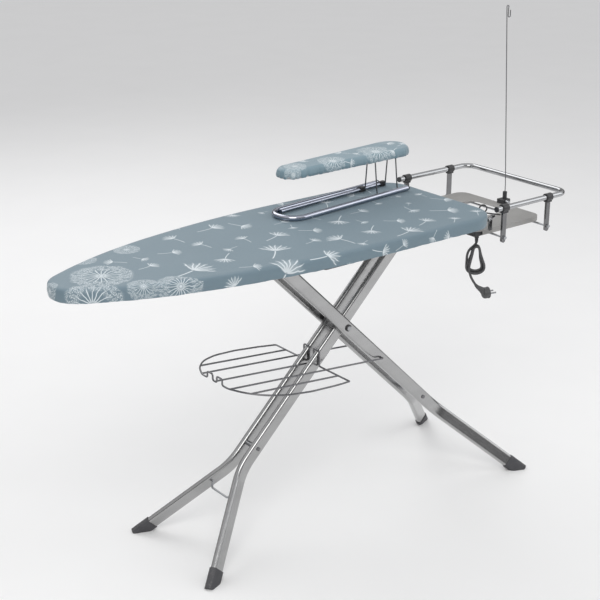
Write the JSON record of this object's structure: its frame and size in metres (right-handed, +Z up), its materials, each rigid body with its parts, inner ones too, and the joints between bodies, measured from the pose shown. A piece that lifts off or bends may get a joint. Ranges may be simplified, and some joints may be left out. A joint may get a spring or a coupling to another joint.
{
  "type": "folding ironing board",
  "caption": "Folding ironing board on crossed tube legs, with an iron tray and guard rail, wire laundry shelf, cord mast, power lead and a small folding sleeve board on top.",
  "frame": {"origin": "on the floor, midway along the whole length and on the centre plane of the board", "axes": "+X from the nose towards the iron rest, +Y to the side away from the power lead, +Z up"},
  "size_m": [1.59, 0.472, 1.3794],
  "materials": {
    "board_cover": "satin woven cotton",
    "board_pad": "felt",
    "board_mesh": "satin grey",
    "board_rim": "satin grey",
    "cross_bars": "satin grey",
    "guide_rails": "satin grey",
    "hinge_rod": "plated",
    "hinge_nuts": "plated",
    "iron_rail": "polished",
    "rail_end_plugs": "moulded",
    "rail_collars": "moulded",
    "rail_posts": "satin chrome",
    "tray_rods": "plated",
    "rod_nuts": "plated",
    "iron_tray": "fine-textured grey",
    "tray_bearers": "satin grey",
    "tray_brackets": "satin grey",
    "mast_clamp": "moulded",
    "socket_outlet": "moulded",
    "cable_loop": "moulded",
    "junction_box": "moulded",
    "cord_gland": "moulded",
    "cord_hank": "matt flex",
    "cord_tail": "matt flex",
    "plug_body": "moulded",
    "plug_pins": "plated",
    "sleeve_base": "polished",
    "base_end_plugs": "moulded",
    "sleeve_rod": "polished",
    "rod_blocks": "moulded",
    "release_rod": "plated",
    "height_rack": "satin grey",
    "release_grip": "moulded",
    "inner_leg_near": "satin chrome",
    "inner_leg_far": "satin chrome",
    "inner_hinge_tube": "plated",
    "inner_spacer": "plated",
    "inner_rivets": "plated",
    "inner_feet": "moulded",
    "inner_brace": "plated wire",
    "outer_leg_near": "satin chrome",
    "outer_leg_far": "satin chrome",
    "slide_bar": "plated",
    "slide_rollers": "moulded",
    "pivot_bolt": "plated",
    "pivot_washers": "moulded",
    "outer_spacer": "plated",
    "outer_rivets": "plated",
    "outer_feet": "moulded",
    "shelf_frame": "plated wire",
    "shelf_wires": "plated wire",
    "cord_mast": "plated wire",
    "clamp_screw": "plated",
    "left_bail": "plated wire",
    "right_bail": "plated wire",
    "sleeve_deck": "board",
    "sleeve_pad": "felt",
    "sleeve_cover": "satin woven cotton",
    "deck_clips": "moulded"
  },
  "bodies": {
    "board": {"board_cover": "board_cover", "board_pad": "board_pad", "board_mesh": "board_mesh", "board_rim": "board_rim", "cross_bars": "cross_bars", "guide_rails": "guide_rails", "hinge_rod": "hinge_rod", "hinge_nuts": "hinge_nuts", "iron_rail": "iron_rail", "rail_end_plugs": "rail_end_plugs", "rail_collars": "rail_collars", "rail_posts": "rail_posts", "tray_rods": "tray_rods", "rod_nuts": "rod_nuts", "iron_tray": "iron_tray", "tray_bearers": "tray_bearers", "tray_brackets": "tray_brackets", "mast_clamp": "mast_clamp", "socket_outlet": "socket_outlet", "cable_loop": "cable_loop", "junction_box": "junction_box", "cord_gland": "cord_gland", "cord_hank": "cord_hank", "cord_tail": "cord_tail", "plug_body": "plug_body", "plug_pins": "plug_pins", "sleeve_base": "sleeve_base", "base_end_plugs": "base_end_plugs", "sleeve_rod": "sleeve_rod", "rod_blocks": "rod_blocks"},
    "release_lever": {"release_rod": "release_rod", "height_rack": "height_rack", "release_grip": "release_grip"},
    "inner_legs": {"inner_leg_near": "inner_leg_near", "inner_leg_far": "inner_leg_far", "inner_hinge_tube": "inner_hinge_tube", "inner_spacer": "inner_spacer", "inner_rivets": "inner_rivets", "inner_feet": "inner_feet", "inner_brace": "inner_brace"},
    "outer_legs": {"outer_leg_near": "outer_leg_near", "outer_leg_far": "outer_leg_far", "slide_bar": "slide_bar", "slide_rollers": "slide_rollers", "pivot_bolt": "pivot_bolt", "pivot_washers": "pivot_washers", "outer_spacer": "outer_spacer", "outer_rivets": "outer_rivets", "outer_feet": "outer_feet"},
    "shelf": {"shelf_frame": "shelf_frame", "shelf_wires": "shelf_wires"},
    "mast": {"cord_mast": "cord_mast"},
    "clamp_screw": {"clamp_screw": "clamp_screw"},
    "left_bail": {"left_bail": "left_bail"},
    "right_bail": {"right_bail": "right_bail"},
    "sleeve_deck": {"sleeve_deck": "sleeve_deck", "sleeve_pad": "sleeve_pad", "sleeve_cover": "sleeve_cover", "deck_clips": "deck_clips"}
  },
  "joints": [
    {"name": "leg_fold", "type": "hinge", "parent": "board", "child": "inner_legs", "pos_m": [0.31749, 0, 0.79], "axis": [0, 1, 0], "range_deg": [0, 39.5]},
    {"name": "leg_cross", "type": "hinge", "parent": "inner_legs", "child": "outer_legs", "pos_m": [0.078, 0, 0.553], "axis": [0, 1, 0], "range_deg": [-79, 0]},
    {"name": "shelf_tilt", "type": "hinge", "parent": "inner_legs", "child": "shelf", "pos_m": [-0.008, 0, 0.49857], "axis": [0, 1, 0], "range_deg": [-39.5, 0]},
    {"name": "height_release", "type": "hinge", "parent": "board", "child": "release_lever", "pos_m": [-0.1, 0, 0.806], "axis": [0, 1, 0], "range_deg": [-7, 0], "stiffness_Nm_per_rad": 3, "springref_deg": 11.46},
    {"name": "mast_turn", "type": "hinge", "parent": "board", "child": "mast", "pos_m": [0.739, -0.003, 0.82], "axis": [0, 0, 1], "continuous": true},
    {"name": "clamp_screw_turn", "type": "hinge", "parent": "board", "child": "clamp_screw", "pos_m": [0.731, -0.02, 0.793], "axis": [0, 1, 0], "continuous": true},
    {"name": "sleeve_fold", "type": "hinge", "parent": "board", "child": "left_bail", "pos_m": [0.32314, 0.13917, 0.8595], "axis": [-0.1132, 0.9936, 0], "range_deg": [-76, 0]},
    {"name": "sleeve_follow", "type": "hinge", "parent": "board", "child": "right_bail", "pos_m": [0.41057, 0.14913, 0.8595], "axis": [-0.1132, 0.9936, 0], "range_deg": [-76, 0]},
    {"name": "sleeve_level", "type": "hinge", "parent": "left_bail", "child": "sleeve_deck", "pos_m": [0.32314, 0.13917, 0.959], "axis": [-0.1132, 0.9936, 0], "range_deg": [0, 76]}
  ],
  "couplings": [
    {"joint": "leg_cross", "follows": "leg_fold", "ratio": -2},
    {"joint": "shelf_tilt", "follows": "leg_fold", "ratio": -1},
    {"joint": "sleeve_follow", "follows": "sleeve_fold", "ratio": 1},
    {"joint": "sleeve_level", "follows": "sleeve_fold", "ratio": -1}
  ]
}
